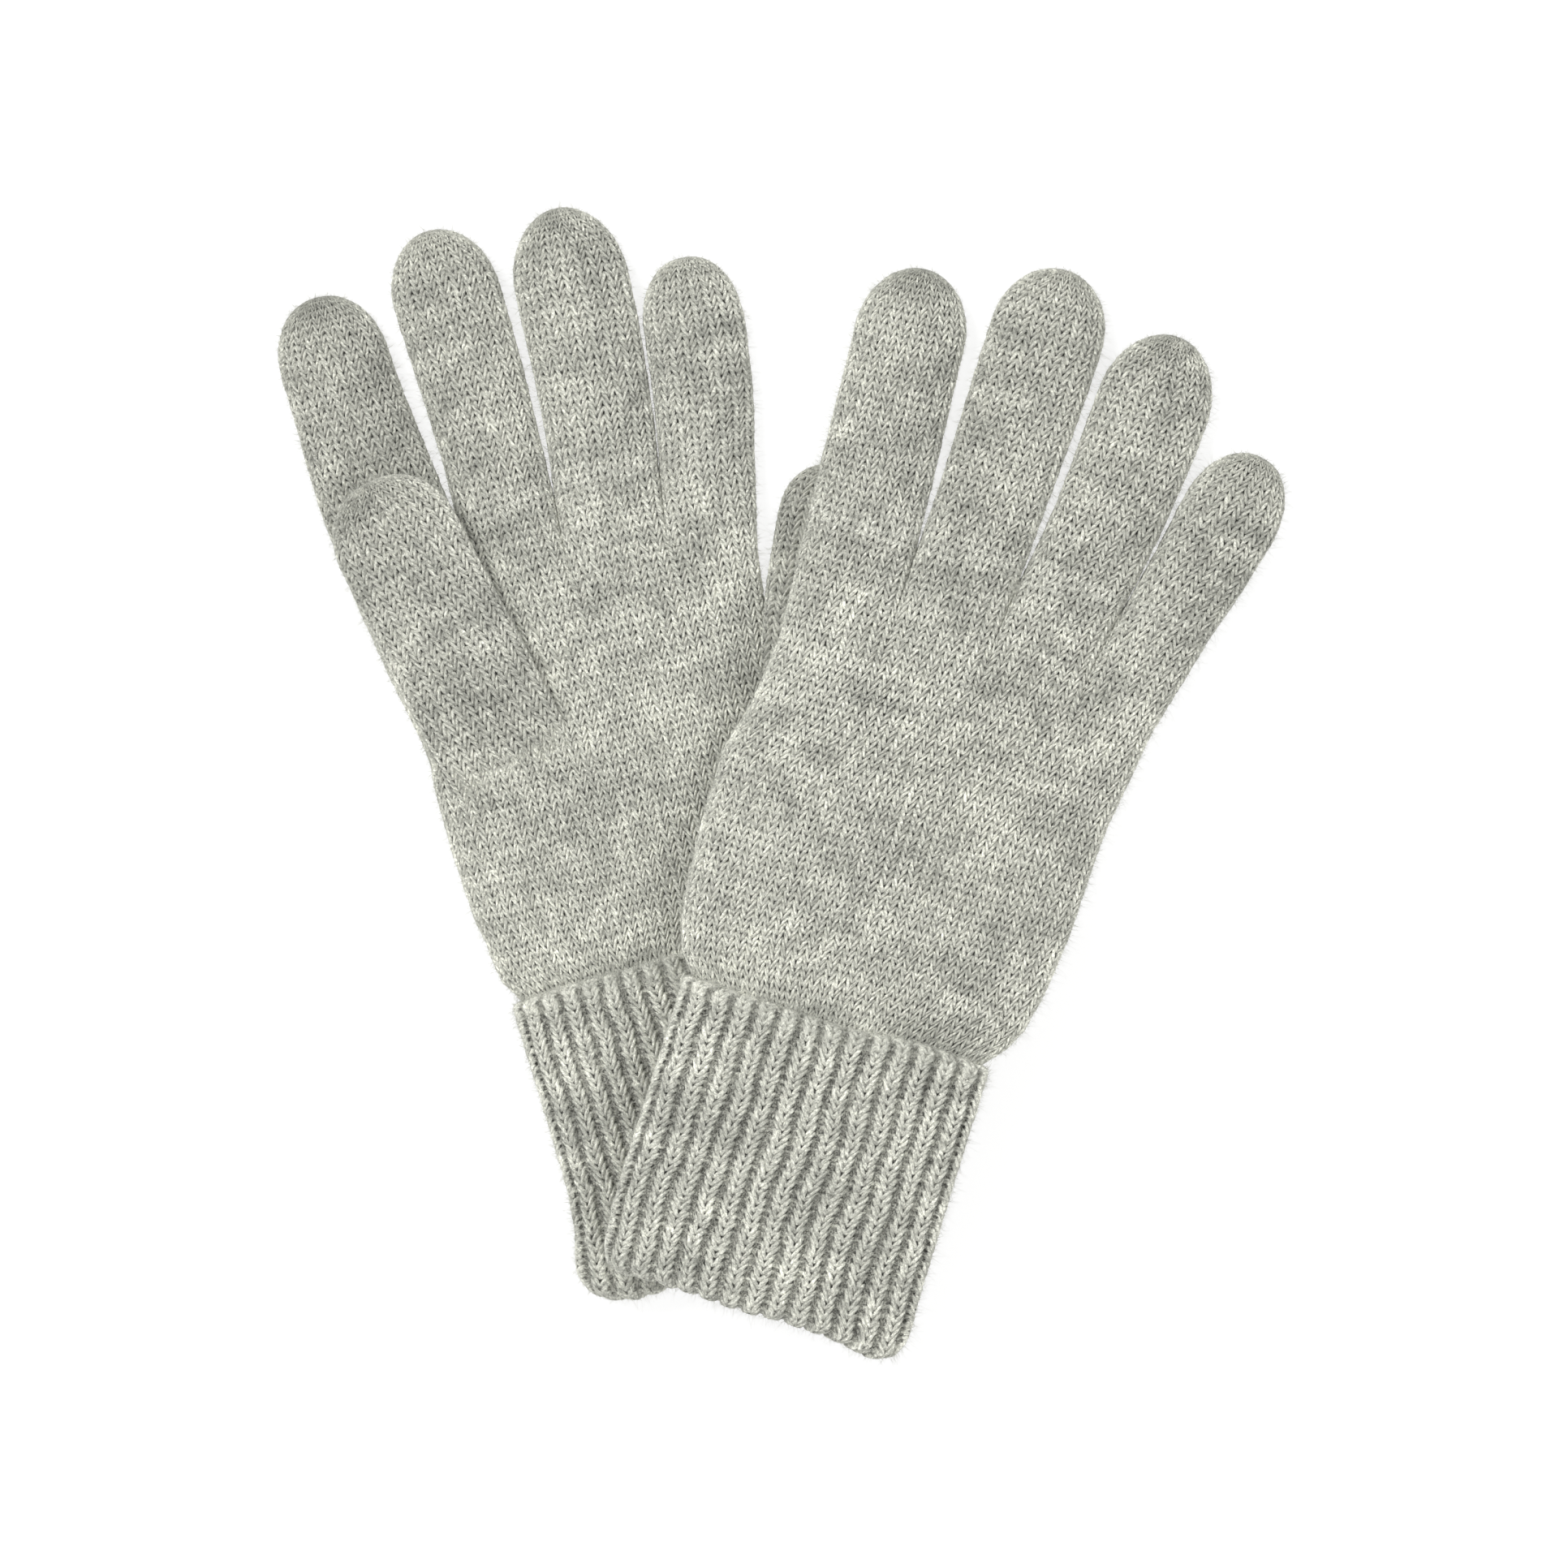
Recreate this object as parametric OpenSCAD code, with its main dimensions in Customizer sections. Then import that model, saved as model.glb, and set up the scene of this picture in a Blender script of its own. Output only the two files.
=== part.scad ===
// A pair of knitted gloves laid out flat and crossed at the cuffs, in millimetres.
// The left-hand glove lies underneath with its palm up and its thumb folded over
// the palm. The right-hand glove lies on top with its back up and its thumb tucked
// under the palm. Both wrists end in a deep ribbed cuff that is turned back.
// +X points right, +Y towards the fingertips, +Z up; z = 0 is the surface they lie on.
// Each glove also has a frame of its own: u across it, v from its cuff to its
// fingertips, with the thumb on the -u side.

/* [Layout] */
// Lean of the left glove, degrees anticlockwise
left_lean = 16.4; // [14:0.2:19]
// Lean of the right glove, degrees clockwise
right_lean = 17; // [15:0.2:19]
// Middle of the left cuff's bottom edge, X
left_x = -11; // [-13:0.5:-9]
// Middle of the left cuff's bottom edge, Y
left_y = -108.5; // [-110:0.5:-107]
// Middle of the right cuff's bottom edge, X
right_x = -8.2; // [-10:0.2:-6]
// Middle of the right cuff's bottom edge, Y
right_y = -121.2; // [-123:0.2:-119]

/* [Fabric] */
// Thickness of one knitted layer
wall = 2.1; // [1.8:0.1:2.3]
// Clearance between neighbouring pieces
gap = 0.3; // [0.2:0.05:0.4]
// Room inside the flat wrist, between its two layers
wrist_room = 4.6; // [4.4:0.1:5.2]

/* [Cuff] */
// Width of the turned-back cuff
cuff_w = 73; // [70:1:76]
// Depth of the turned-back cuff
cuff_d = 69.5; // [66:0.5:70]
// Depth of the bound-off edge at the cuff's free end
edge_d = 4; // [3:0.5:5]
// Depth of the linking course between wrist rib and hand
seam_d = 2.4; // [2:0.1:3]

/* [Hand] */
// Distance from the cuff's bottom edge to the finger line
finger_line = 179; // [176:0.5:182]
// Thickness of the hand, lying flat
hand_t = 10.8; // [10.4:0.1:12]

/* [Fingers] */
// Thickness of a finger, lying flat
finger_t = 7.8; // [7:0.1:8]
// Length of the rounding at a fingertip
tip_round = 14; // [10:1:16]
// Length of the rounding at a thumb's tip
thumb_round = 20; // [16:1:24]
// Thickness of the left thumb
left_thumb_t = 7; // [6.5:0.1:8]
// Thickness of the right thumb, pressed under its palm
right_thumb_t = 6; // [5.5:0.1:6.5]

/* [Hidden] */
LEFT = 0;
RIGHT = 1;
lean = [left_lean, -right_lean];
foot = [[left_x, left_y], [right_x, right_y]];

// Stack of the turned cuff: outer layer, wrist rib, room, wrist rib, outer layer
rib_t = 2 * wall + wrist_room;
cuff_t = rib_t + 2 * wall + 2 * gap;
rib_z = wall + gap;
rib_hw = cuff_w / 2 - wall - gap;
seam_v = cuff_d + gap;
hand_v = seam_v + seam_d + gap;

// Plan outline of the hand as [v, u] along its thumb side and its little-finger side
thumb_side = [[hand_v, -38.2], [82, -40.6], [90, -41.8], [106, -42.6], [122, -42.6],
    [134, -41.4], [150, -41.4], [finger_line, -42.4]];
little_side = [[hand_v, 38.6], [80, 41.6], [90, 43.7], [106, 45.6], [130, 46.7],
    [154, 50], [finger_line, 56.4]];
// How far the left glove's thumb side is rolled in, as [v, inset]
rolled_in = [[hand_v, 1], [84, 5.4], [128, 6], [150, 2.4], [170, 0.4], [finger_line, 0]];

// Fingers from index to little: base middle u, base width, tip u, tip v, width
fingers = [
    [-27.8, 28.6, -31.5, 239.0, 25.4],
    [-1.3, 23.0, -0.6, 247.5, 25.4],
    [22.6, 23.0, 29.2, 242.5, 25.4],
    [45.6, 21.2, 56.0, 222.8, 23.6]];
// Thumbs, left and right: base middle [u, v], tip [u, v], base width, width
thumbs = [
    [[-20.2, 131.5], [-31.0, 193.4], 31, 29.4],
    [[-18.6, 133.0], [-34.0, 191.0], 21, 26.5]];

// Points on a ring: steps round each edge, and points along each flat
edge_steps = 4;

knit = [0.72, 0.73, 0.68];
rib = [0.68, 0.69, 0.64];
edge = [0.78, 0.79, 0.74];

function mix(a, b, t) = a + (b - a) * t;
function unit(x) = max(0, min(1, x));
function step01(a, b, x) = let(t = unit((x - a) / (b - a))) t * t * (3 - 2 * t);

// A glove's own (u, v) to the pair's (x, y), and back again
function to_pair(s, u, v) = foot[s] +
    [u * cos(lean[s]) - v * sin(lean[s]), u * sin(lean[s]) + v * cos(lean[s])];
function to_glove(s, p) = let(d = p - foot[s])
    [d.x * cos(lean[s]) + d.y * sin(lean[s]), d.y * cos(lean[s]) - d.x * sin(lean[s])];

// --- How the right glove lies over the left one ---
// Height carried over the left cuff, over the left hand, and over its own thumb
over_cuff = cuff_t + 0.4;
over_hand = hand_t + 0.4;
over_thumb = right_thumb_t + 0.6;
// Level until here, so that the right cuff can be drawn down along its wrist
level_end = 92;

function left_support(p) = let(q = to_glove(LEFT, p))
    mix(over_cuff, over_hand, step01(82, 104, q[1]))
    * (1 - step01(8, 38, q[0] - lookup(q[1], little_side)));
function thumb_support(u, v) = over_thumb * (1 - step01(-16, 46, u))
    * step01(100, 128, v) * (1 - step01(194, 216, v));
function smooth_max(a, b) = let(k = min(a, b), h = max(0, k - abs(a - b)))
    max(a, b) + (k > 0 ? h * h / (4 * k) : 0);
function drape(s, u, v) = s == LEFT ? 0 :
    mix(over_cuff, smooth_max(left_support(to_pair(s, u, v)) * (1 - step01(154, 178, v)),
        thumb_support(u, v)), step01(level_end, 124, v));

// --- Rings ---
// One flat ring: a rounded slot, half width hw and thickness t, standing on z0.
// It lies across the glove at middle c = [u, v] and is turned by the angle turn.
function slot(hw, t, flats) = let(r = min(hw, t / 2), f = hw - r) concat(
    [for (i = [0 : edge_steps]) let(a = -90 + 180 * i / edge_steps) [f + r * cos(a), r * sin(a)]],
    [for (i = [1 : flats]) [mix(f, -f, i / (flats + 1)), r]],
    [for (i = [0 : edge_steps]) let(a = 90 + 180 * i / edge_steps) [-f + r * cos(a), r * sin(a)]],
    [for (i = [1 : flats]) [mix(-f, f, i / (flats + 1)), -r]]);
function ring(s, c, turn, hw, t, z0, flats, level = false) =
    [for (q = slot(hw, t, flats)) let(u = c[0] + q[0] * cos(turn), v = c[1] + q[0] * sin(turn),
        xy = to_pair(s, u, v)) [xy.x, xy.y, z0 + t / 2 + q[1] + (level ? 0 : drape(s, u, v))]];

// --- Solids made of rings ---
function quads(n, i, k) = [for (j = [0 : n - 1]) let(a = i * n + j, b = i * n + (j + 1) % n,
    c = k * n + (j + 1) % n, d = k * n + j) each [[a, b, c], [a, c, d]]];

// Rings that close on themselves, like the skin of a sleeve open at both ends
module sleeve(rings) {
    n = len(rings[0]);
    m = len(rings);
    polyhedron(points = [for (r = rings) each r],
        faces = [for (i = [0 : m - 1]) each quads(n, i, (i + 1) % m)]);
}

// Rings from the inside of a closed tip, out over its open base, to the outside.
// A fan from the middle of the first and the last ring closes the tip's two skins.
function middle(r) = [for (k = [0 : 2]) r[0][k] + r[floor(len(r) / 2)][k]] / 2;
module pocket(rings) {
    n = len(rings[0]);
    m = len(rings);
    polyhedron(points = concat([for (r = rings) each r], [middle(rings[0]), middle(rings[m - 1])]),
        faces = concat([for (i = [0 : m - 2]) each quads(n, i, i + 1)],
            [for (j = [0 : n - 1]) [j, n * m, (j + 1) % n]],
            [for (j = [0 : n - 1]) [(m - 1) * n + j, (m - 1) * n + (j + 1) % n, n * m + 1]]));
}

// --- The hand: a tube, open at the wrist and at the finger line ---
function hand_rest(s) = s == LEFT ? [hand_v, 96] : [level_end, 118];
function hand_z(s, v) = rib_z * (1 - step01(hand_rest(s)[0], hand_rest(s)[1], v));
function hand_thick(v) = mix(mix(rib_t, hand_t, step01(hand_v, 96, v)), finger_t,
    step01(146, finger_line, v));
function low_u(s, v) = lookup(v, thumb_side) + (s == LEFT ? lookup(v, rolled_in) : 0);
function high_u(v) = lookup(v, little_side);
function hand_ring(s, v, inset) = let(a = low_u(s, v), b = high_u(v))
    ring(s, [(a + b) / 2, v], 0, (b - a) / 2 - inset, hand_thick(v) - 2 * inset,
        hand_z(s, v) + inset, 9);
hand_stations = [for (i = [0 : 13]) mix(hand_v, finger_line, i / 13)];

module hand(s) color(knit) sleeve(concat(
    [for (v = hand_stations) hand_ring(s, v, 0)],
    [for (i = [len(hand_stations) - 1 : -1 : 0]) hand_ring(s, hand_stations[i], wall)]));

// --- Fingers and thumbs: tubes with a closed, rounded tip ---
// f is how far along the tube, from 0 at its base to 1 at its tip
function tube_turn(base, tip, f) = atan2(base[0] - tip[0], tip[1] - base[1]) * step01(0, 0.3, f);
function tip_shape(f, length, round) = let(x = unit((f * length - length + round) / round))
    pow(max(0, 1 - pow(x, 2.4)), 1 / 2.2);
function digit_ring(s, base, tip, hw0, hw1, t, f, inset, z0, drop, round) =
    let(length = norm(tip - base), k = tip_shape(f, length, round),
        hw = mix(hw0, hw1, step01(0, 0.35, f)) * max(0.2, k), tk = t * max(0.45, pow(k, 0.5)),
        c = mix(base, tip, f), h = z0 + (t - tk) / 2)
    [for (q = slot(max(1, hw - inset), max(0.6, tk - 2 * inset), 1))
        let(turn = tube_turn(base, tip, f), u = c[0] + q[0] * cos(turn),
            v = c[1] + q[0] * sin(turn), xy = to_pair(s, u, v))
        [xy.x, xy.y, max(0, h + tk / 2 + q[1] + drape(s, u, v) - drop)]];
outer_f = [0, 0.12, 0.25, 0.4, 0.55, 0.68, 0.78, 0.86, 0.92, 0.97, 1];
inner_f = [0, 0.12, 0.25, 0.4, 0.55, 0.68, 0.78, 0.86, 0.92];

module finger(s, i) {
    g = fingers[i];
    base = [g[0], finger_line + gap];
    tip = [g[2], g[3]];
    color(knit) pocket(concat(
        [for (j = [len(inner_f) - 1 : -1 : 0])
            digit_ring(s, base, tip, g[1] / 2, g[4] / 2, finger_t, inner_f[j], wall,
                0, 0, tip_round)],
        [for (f = outer_f)
            digit_ring(s, base, tip, g[1] / 2, g[4] / 2, finger_t, f, 0, 0, 0,
                tip_round)]));
}

// The left thumb lies on the palm; the right thumb lies under its palm
function palm_top(v) = hand_thick(min(v, finger_line)) + gap;
module thumb(s) {
    g = thumbs[s];
    t = s == LEFT ? left_thumb_t : right_thumb_t;
    function rest(f) = s == LEFT ? palm_top(mix(g[0][1], g[1][1], f)) : 0;
    drop = s == LEFT ? 0 : over_thumb - 0.1;
    color(knit) pocket(concat(
        [for (j = [len(inner_f) - 1 : -1 : 0]) digit_ring(s, g[0], g[1], g[2] / 2, g[3] / 2,
            t, inner_f[j], wall, rest(inner_f[j]), drop, thumb_round)],
        [for (f = outer_f) digit_ring(s, g[0], g[1], g[2] / 2, g[3] / 2,
            t, f, 0, rest(f), drop, thumb_round)]));
}

// --- Wrist rib: the ribbed layer that goes on into the hand ---
rib_v = wall + 2 * gap;
function band_ring(s, v, hw, t) = ring(s, [0, v], 0, hw, t, (cuff_t - t) / 2, 5);
module wrist_rib(s) color(rib) sleeve(concat(
    [for (f = [0, 0.33, 0.67, 1]) band_ring(s, mix(rib_v, cuff_d, f), rib_hw, rib_t)],
    [for (f = [1, 0.67, 0.33, 0])
        band_ring(s, mix(rib_v, cuff_d, f), rib_hw - wall, rib_t - 2 * wall)]));

// --- Turned cuff: the same rib folded back outside, closed by the fold at v = 0 ---
cuff_hw = cuff_w / 2;
function cuff_out(s, v, inset) = band_ring(s, v, cuff_hw - inset, cuff_t - 2 * inset);
cuff_end = cuff_d - edge_d - gap;
module turned_cuff(s) color(rib) sleeve([
    cuff_out(s, 0, 1.1), cuff_out(s, 1.1, 0), cuff_out(s, cuff_end / 3, 0),
    cuff_out(s, cuff_end * 2 / 3, 0), cuff_out(s, cuff_end, 0),
    cuff_out(s, cuff_end, wall), cuff_out(s, cuff_end / 2, wall),
    cuff_out(s, wall + gap, wall), cuff_out(s, wall + gap, 2 * wall + gap),
    cuff_out(s, 0, 2 * wall + gap - 0.6)]);

// --- Bound-off edge of the turned cuff ---
module cuff_edge(s) color(edge) sleeve([
    for (q = [[0, 0.4], [0.7, 0], [edge_d - 1, 0], [edge_d, 0.8],
        [edge_d, wall - 0.5], [edge_d - 1, wall], [0, wall]])
        cuff_out(s, cuff_d - edge_d + q[0], q[1])]);

// --- Linking course that joins the wrist rib to the hand ---
module wrist_seam(s) color(knit) sleeve([
    for (q = [[0, 0.4], [seam_d / 2, 0], [seam_d, 0.2],
        [seam_d, wall - 0.2], [seam_d / 2, wall], [0, wall - 0.2]])
        band_ring(s, seam_v + q[0], mix(rib_hw, rib_hw + 2.6, q[0] / seam_d) - q[1],
            rib_t - 2 * q[1])]);

hand(LEFT);  // left_hand
finger(LEFT, 0);  // left_index_finger
finger(LEFT, 1);  // left_middle_finger
finger(LEFT, 2);  // left_ring_finger
finger(LEFT, 3);  // left_little_finger
thumb(LEFT);  // left_thumb
wrist_rib(LEFT);  // left_wrist_rib
wrist_seam(LEFT);  // left_wrist_seam
turned_cuff(LEFT);  // left_turned_cuff
cuff_edge(LEFT);  // left_cuff_edge
hand(RIGHT);  // right_hand
finger(RIGHT, 0);  // right_index_finger
finger(RIGHT, 1);  // right_middle_finger
finger(RIGHT, 2);  // right_ring_finger
finger(RIGHT, 3);  // right_little_finger
thumb(RIGHT);  // right_thumb
wrist_rib(RIGHT);  // right_wrist_rib
wrist_seam(RIGHT);  // right_wrist_seam
turned_cuff(RIGHT);  // right_turned_cuff
cuff_edge(RIGHT);  // right_cuff_edge
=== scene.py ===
import math

import bpy
import numpy as np
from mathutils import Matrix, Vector


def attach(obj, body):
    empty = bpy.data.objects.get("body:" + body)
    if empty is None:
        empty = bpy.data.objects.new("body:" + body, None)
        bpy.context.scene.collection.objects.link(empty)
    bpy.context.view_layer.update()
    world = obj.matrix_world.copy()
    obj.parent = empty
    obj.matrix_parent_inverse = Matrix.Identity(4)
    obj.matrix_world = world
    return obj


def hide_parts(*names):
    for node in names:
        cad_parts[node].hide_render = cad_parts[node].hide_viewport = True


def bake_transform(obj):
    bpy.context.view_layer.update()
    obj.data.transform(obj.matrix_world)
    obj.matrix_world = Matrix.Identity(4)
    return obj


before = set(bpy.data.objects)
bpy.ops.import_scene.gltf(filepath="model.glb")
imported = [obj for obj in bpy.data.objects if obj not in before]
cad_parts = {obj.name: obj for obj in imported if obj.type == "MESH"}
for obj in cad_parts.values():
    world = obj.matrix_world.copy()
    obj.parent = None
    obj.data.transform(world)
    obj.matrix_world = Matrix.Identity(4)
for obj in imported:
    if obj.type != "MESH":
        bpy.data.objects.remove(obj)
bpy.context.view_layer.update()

MM = 0.001
LEFT, RIGHT = 0, 1
SIDES = ("left", "right")

# ---------------------------------------------------------------- the frame's layout
# Pairs are for the left and the right glove
LEAN = (math.radians(16.4), math.radians(-17.0))    # how each glove is turned
FOOT = ((-11.0, -108.5), (-8.2, -121.2))            # the middle of its cuff's fold
WALL, GAP, WRIST_ROOM = 2.1, 0.3, 4.6
CUFF_HALF_W, CUFF_D, EDGE_D = 36.5, 69.5, 4.0       # D is along the glove
RIB_T = 2 * WALL + WRIST_ROOM
CUFF_T = RIB_T + 2 * WALL + 2 * GAP
RIB_HALF_W = CUFF_HALF_W - WALL - GAP
FINGER_LINE = 179.0
HAND_T, FINGER_T = 10.8, 8.2
LEFT_THUMB_T, RIGHT_THUMB_T = 7.4, 6.0
# How high the right glove lies where it crosses a part
OVER_CUFF, OVER_HAND, OVER_THUMB = CUFF_T + 0.4, HAND_T + 0.4, RIGHT_THUMB_T + 0.6

# ---------------------------------------------------------------- the knitting
# pitch: width of a stitch (rib: of a rib and its recess); course: height of a row;
# half: how much of a half stitch the V fills; rise: courses a leg climbs from foot
# to head; depth: relief of a leg; crown: drop of a V's sides; recess: depth between ribs;
# columns: where the mesh is cut across a half stitch; rows: cuts in a course
PLAIN = dict(pitch=2.95, course=1.87, half=0.5, rise=1.5, depth=0.80, crown=0.25, recess=0.0,
             columns=(0.0, 0.12, 0.25, 0.38), rows=5)
RIB = dict(pitch=5.35, course=1.92, half=0.36, rise=1.5, depth=0.75, crown=0.45, recess=1.9,
           columns=(0.0, 0.09, 0.18, 0.27, 0.34, 0.39, 0.44), rows=5)
SLIM_ENDS = 0.42      # how much narrower a leg is at its foot and its head
LEG_FILL = 0.97       # how nearly a leg fills its course
UNDERNEATH = 1000.0   # added to the wales underneath, so that their yarn runs its own way
LIFT = 0.1            # how far plain stitches stand out of the skin they are laid on

HALF_WALES = (10, 9, 9, 8)    # wales over the top of each finger, index to little

# Plan outline of the hand: its thumb side and its little-finger side, u at each v, and
# how much of the left one's thumb side is rolled in under the thumb
THUMB_SIDE_V = (68, 71, 75, 82, 90, 106, 122, 134, 150, 179)
THUMB_SIDE_U = ((-30.4, -32.8, -36.4, -39.5, -41.5, -43.0, -43.0, -41.8, -41.8, -43.0),
                (-33.5, -35.6, -38.8, -41.0, -42.0, -43.1, -43.1, -40.0, -38.3, -40.4))
LITTLE_SIDE_V = (68, 71, 75, 80, 90, 106, 130, 154, 179)
LITTLE_SIDE_U = (33.5, 35.8, 39.2, 41.6, 43.7, 45.6, 46.9, 50.4, 57.0)
ROLLED_IN_V = (68, 84, 106, 128, 150, 170, 179)
ROLLED_IN = (0.0, 4.8, 6.0, 6.4, 2.4, 0.4, 0.0)
# The cuffs: how far the left glove's thumb side is drawn in, and how far the fold runs
# past the straight line between its corners, v at each u, on each glove
DRAWN_IN = 3.4
CORNER = 7.0          # radius of the fold's corners
FOLD_U = (-36.0, -25.0, -8.0, 6.0, 20.0, 28.0, 36.0)
FOLD_V = ((-0.6, -3.0, -2.6, 0.0, 0.0, 0.0, 0.0), (-0.4, 0.0, 0.6, 1.0, -0.6, -1.9, -1.0))
# Where the fingers part on the finger line, from index to little, on each glove
PARTINGS = ((-43.0, -14.3, 9.0, 34.4, 57.5), (-40.4, -14.2, 10.6, 35.2, 56.6))
# Each finger: tip u, tip v, half width, length and squareness of its rounded tip, and
# how far its middle bows towards the little finger's side
FINGERS = (
    {"index": (-31.3, 239.0, 12.9, 17.0, 2.15, -0.8),
     "middle": (-2.2, 246.5, 12.5, 15.5, 2.0, 0.2),
     "ring": (27.7, 243.2, 13.4, 18.0, 2.0, 0.6),
     "little": (52.9, 224.0, 11.8, 17.0, 2.2, 0.5)},
    {"index": (-30.9, 241.3, 12.9, 15.5, 2.0, -0.3),
     "middle": (0.5, 250.6, 13.3, 15.5, 2.0, 0.0),
     "ring": (29.4, 243.4, 13.2, 17.0, 2.0, 0.7),
     "little": (56.3, 222.3, 11.6, 17.0, 2.2, 0.4)})


def mix(a, b, t):
    return a + (b - a) * t


def smooth(a, b, x):
    """0 up to a, 1 from b on, and an S-shaped rise between them."""
    t = np.clip((x - a) / (b - a), 0, 1)
    return t * t * (3 - 2 * t)


# ---------------------------------------------------------------- noise
HASH_PRIMES = (73856093, 19349663, 83492791)
HASH_MIXER = np.uint32(0x5BD1E995)


def hashed(*whole):
    """A fixed number from 0 to 1 for each set of up to three whole numbers."""
    h = np.zeros(np.broadcast(*whole).shape, np.uint32)
    for n, prime in zip(whole, HASH_PRIMES):
        h ^= np.asarray(n).astype(np.int64).astype(np.uint32) * np.uint32(prime)
    h ^= h >> 13
    h *= HASH_MIXER
    h ^= h >> 15
    return h.astype(np.float64) / np.iinfo(np.uint32).max


def noise(x, y, seed=0):
    """Smooth noise from -1 to 1, with a period of about one unit."""
    i, j = np.floor(x), np.floor(y)
    fx, fy = x - i, y - j
    fx, fy = fx * fx * (3 - 2 * fx), fy * fy * (3 - 2 * fy)
    at = lambda a, b: hashed(i + a, j + b, np.full_like(i, seed))
    return 2 * mix(mix(at(0, 0), at(1, 0), fx), mix(at(0, 1), at(1, 1), fx), fy) - 1


# ---------------------------------------------------------------- placing and draping
def to_pair(s, u, v):
    """From a glove's own plan coordinates to the row frame's, and back in to_glove()."""
    c, n = math.cos(LEAN[s]), math.sin(LEAN[s])
    return FOOT[s][0] + u * c - v * n, FOOT[s][1] + u * n + v * c


def to_glove(s, x, y):
    c, n = math.cos(LEAN[s]), math.sin(LEAN[s])
    dx, dy = x - FOOT[s][0], y - FOOT[s][1]
    return dx * c + dy * n, dy * c - dx * n


def thumb_side(s, v):
    rolled = np.interp(v, ROLLED_IN_V, ROLLED_IN) if s == LEFT else 0
    return np.interp(v, THUMB_SIDE_V, THUMB_SIDE_U[s]) + rolled


def little_side(v):
    return np.interp(v, LITTLE_SIDE_V, LITTLE_SIDE_U)


def drape(s, u, v):
    """How far the right glove is held up by the left one and by its own thumb."""
    if s == LEFT:
        return np.zeros(np.broadcast(u, v).shape)
    ul, vl = to_glove(LEFT, *to_pair(RIGHT, u, v))
    by_left = mix(OVER_CUFF, OVER_HAND, smooth(82, 104, vl))
    by_left *= 1 - smooth(8, 38, ul - little_side(vl))
    by_left *= 1 - smooth(154, 178, v)
    by_thumb = OVER_THUMB * (1 - smooth(-16, 46, u)) * smooth(100, 128, v)
    by_thumb *= 1 - smooth(194, 216, v)
    # the higher of the two, rounded off where they are nearly equal
    lower = np.minimum(by_left, by_thumb)
    near = np.maximum(0, lower - np.abs(by_left - by_thumb))
    both = np.maximum(by_left, by_thumb) + near * near / (4 * np.maximum(lower, 1e-6))
    return mix(OVER_CUFF, both, smooth(92, 124, v))


def lumps(s, u, v):
    """Slow waves of a soft fabric that lies loose."""
    return 0.45 * noise(u / 24, v / 30, 11 + s) + 0.20 * noise(u / 10, v / 13, 23 + s)


def place(s, u, v, z):
    x, y = to_pair(s, u, v)
    return np.stack([x, y, z + drape(s, u, v)], -1)


# ---------------------------------------------------------------- stitches
def off_centre(w):
    """Distance from the middle of the stitch, 0 to 0.5 stitches."""
    return np.abs(w - np.floor(w) - 0.5)


def climb(knit, w):
    """Courses a leg has climbed here, so that rows of the mesh can follow the legs."""
    return knit["rise"] * np.minimum(off_centre(w) / knit["half"], 1)


def loosened(w, c, q, seed):
    """The chart's lines as real yarn lays them: a little uneven. q counts the wales that
    lie side by side, so that it runs on over a closed gore."""
    w2 = w + 0.08 * noise(q / 2.3, c / 2.9, seed) + 0.065 * noise(q * 1.4, c * 0.9, seed + 1)
    c2 = c + 0.20 * noise(q / 1.9, c / 2.3, seed + 2) + 0.13 * noise(q * 1.9, c * 0.8, seed + 3)
    return w2, c2


def relief(knit, w, c, seed):
    """Height of the stitches in millimetres, 0 at a leg's top and negative round it."""
    x = off_centre(w)
    t = np.minimum(x / knit["half"], 1)
    phase = c - knit["rise"] * t
    across = 2 * (phase - np.floor(phase)) - 1
    ends = np.abs(2 * t - 1)
    slim = 1 - SLIM_ENDS * ends ** 2
    body = np.sqrt(np.maximum(0, 1 - (LEG_FILL * across / slim) ** 2))
    leg = np.floor(w) * 2 + (w - np.floor(w) > 0.5)
    lift = 0.18 * (hashed(leg, np.floor(phase), np.full_like(leg, seed + 5)) - 0.5)
    h = knit["depth"] * (body * (1 - 0.30 * ends ** 4) - 1) - knit["crown"] * t ** 2 + lift * body
    if knit["recess"]:
        between = smooth(knit["half"] - 0.02, knit["half"] + 0.07, x)
        low = -knit["recess"] + 0.22 * np.cos(2 * np.pi * c)
        h = mix(h, low, between)
    return h


def chart_columns(knit, first, last):
    """Where the mesh is cut across stitches first to last, in wales."""
    half = np.array(knit["columns"])
    cell = np.concatenate([[0.0], 0.5 - half[:0:-1], 0.5 + half])
    return (np.arange(first, last)[:, None] + cell[None, :]).ravel()


def sheared(knit, w, courses, fade_in, fade_out):
    """Course number at each row and column of the mesh: rows climb with the V's legs,
    and lie level at both ends."""
    c = np.linspace(0, courses, courses * knit["rows"] + 1)[:, None]
    level = smooth(0, fade_in, c) * (1 - smooth(courses - fade_out, courses, c))
    return c + climb(knit, w) * level


# ---------------------------------------------------------------- cross-sections
ARC_STEPS = 60
TOP_POWER, UNDER_POWER = 2.25, 3.6    # how square a finger's section is, 2 being an ellipse


def bulge(f, power):
    """A half superellipse's height, 0 to 1, at f from -1 to 1 across it."""
    return np.maximum(0, 1 - np.abs(f) ** power) ** (1 / power)


def half_steps():
    """Positions across a half section, crowded towards its two ends."""
    return -np.cos(np.linspace(0, np.pi, ARC_STEPS))


def spread(x, z, at):
    """Points along an open polyline at the given fractions of its length."""
    run = np.concatenate([[0], np.cumsum(np.hypot(np.diff(x), np.diff(z)))])
    return np.interp(at * run[-1], run, x), np.interp(at * run[-1], run, z)


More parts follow.
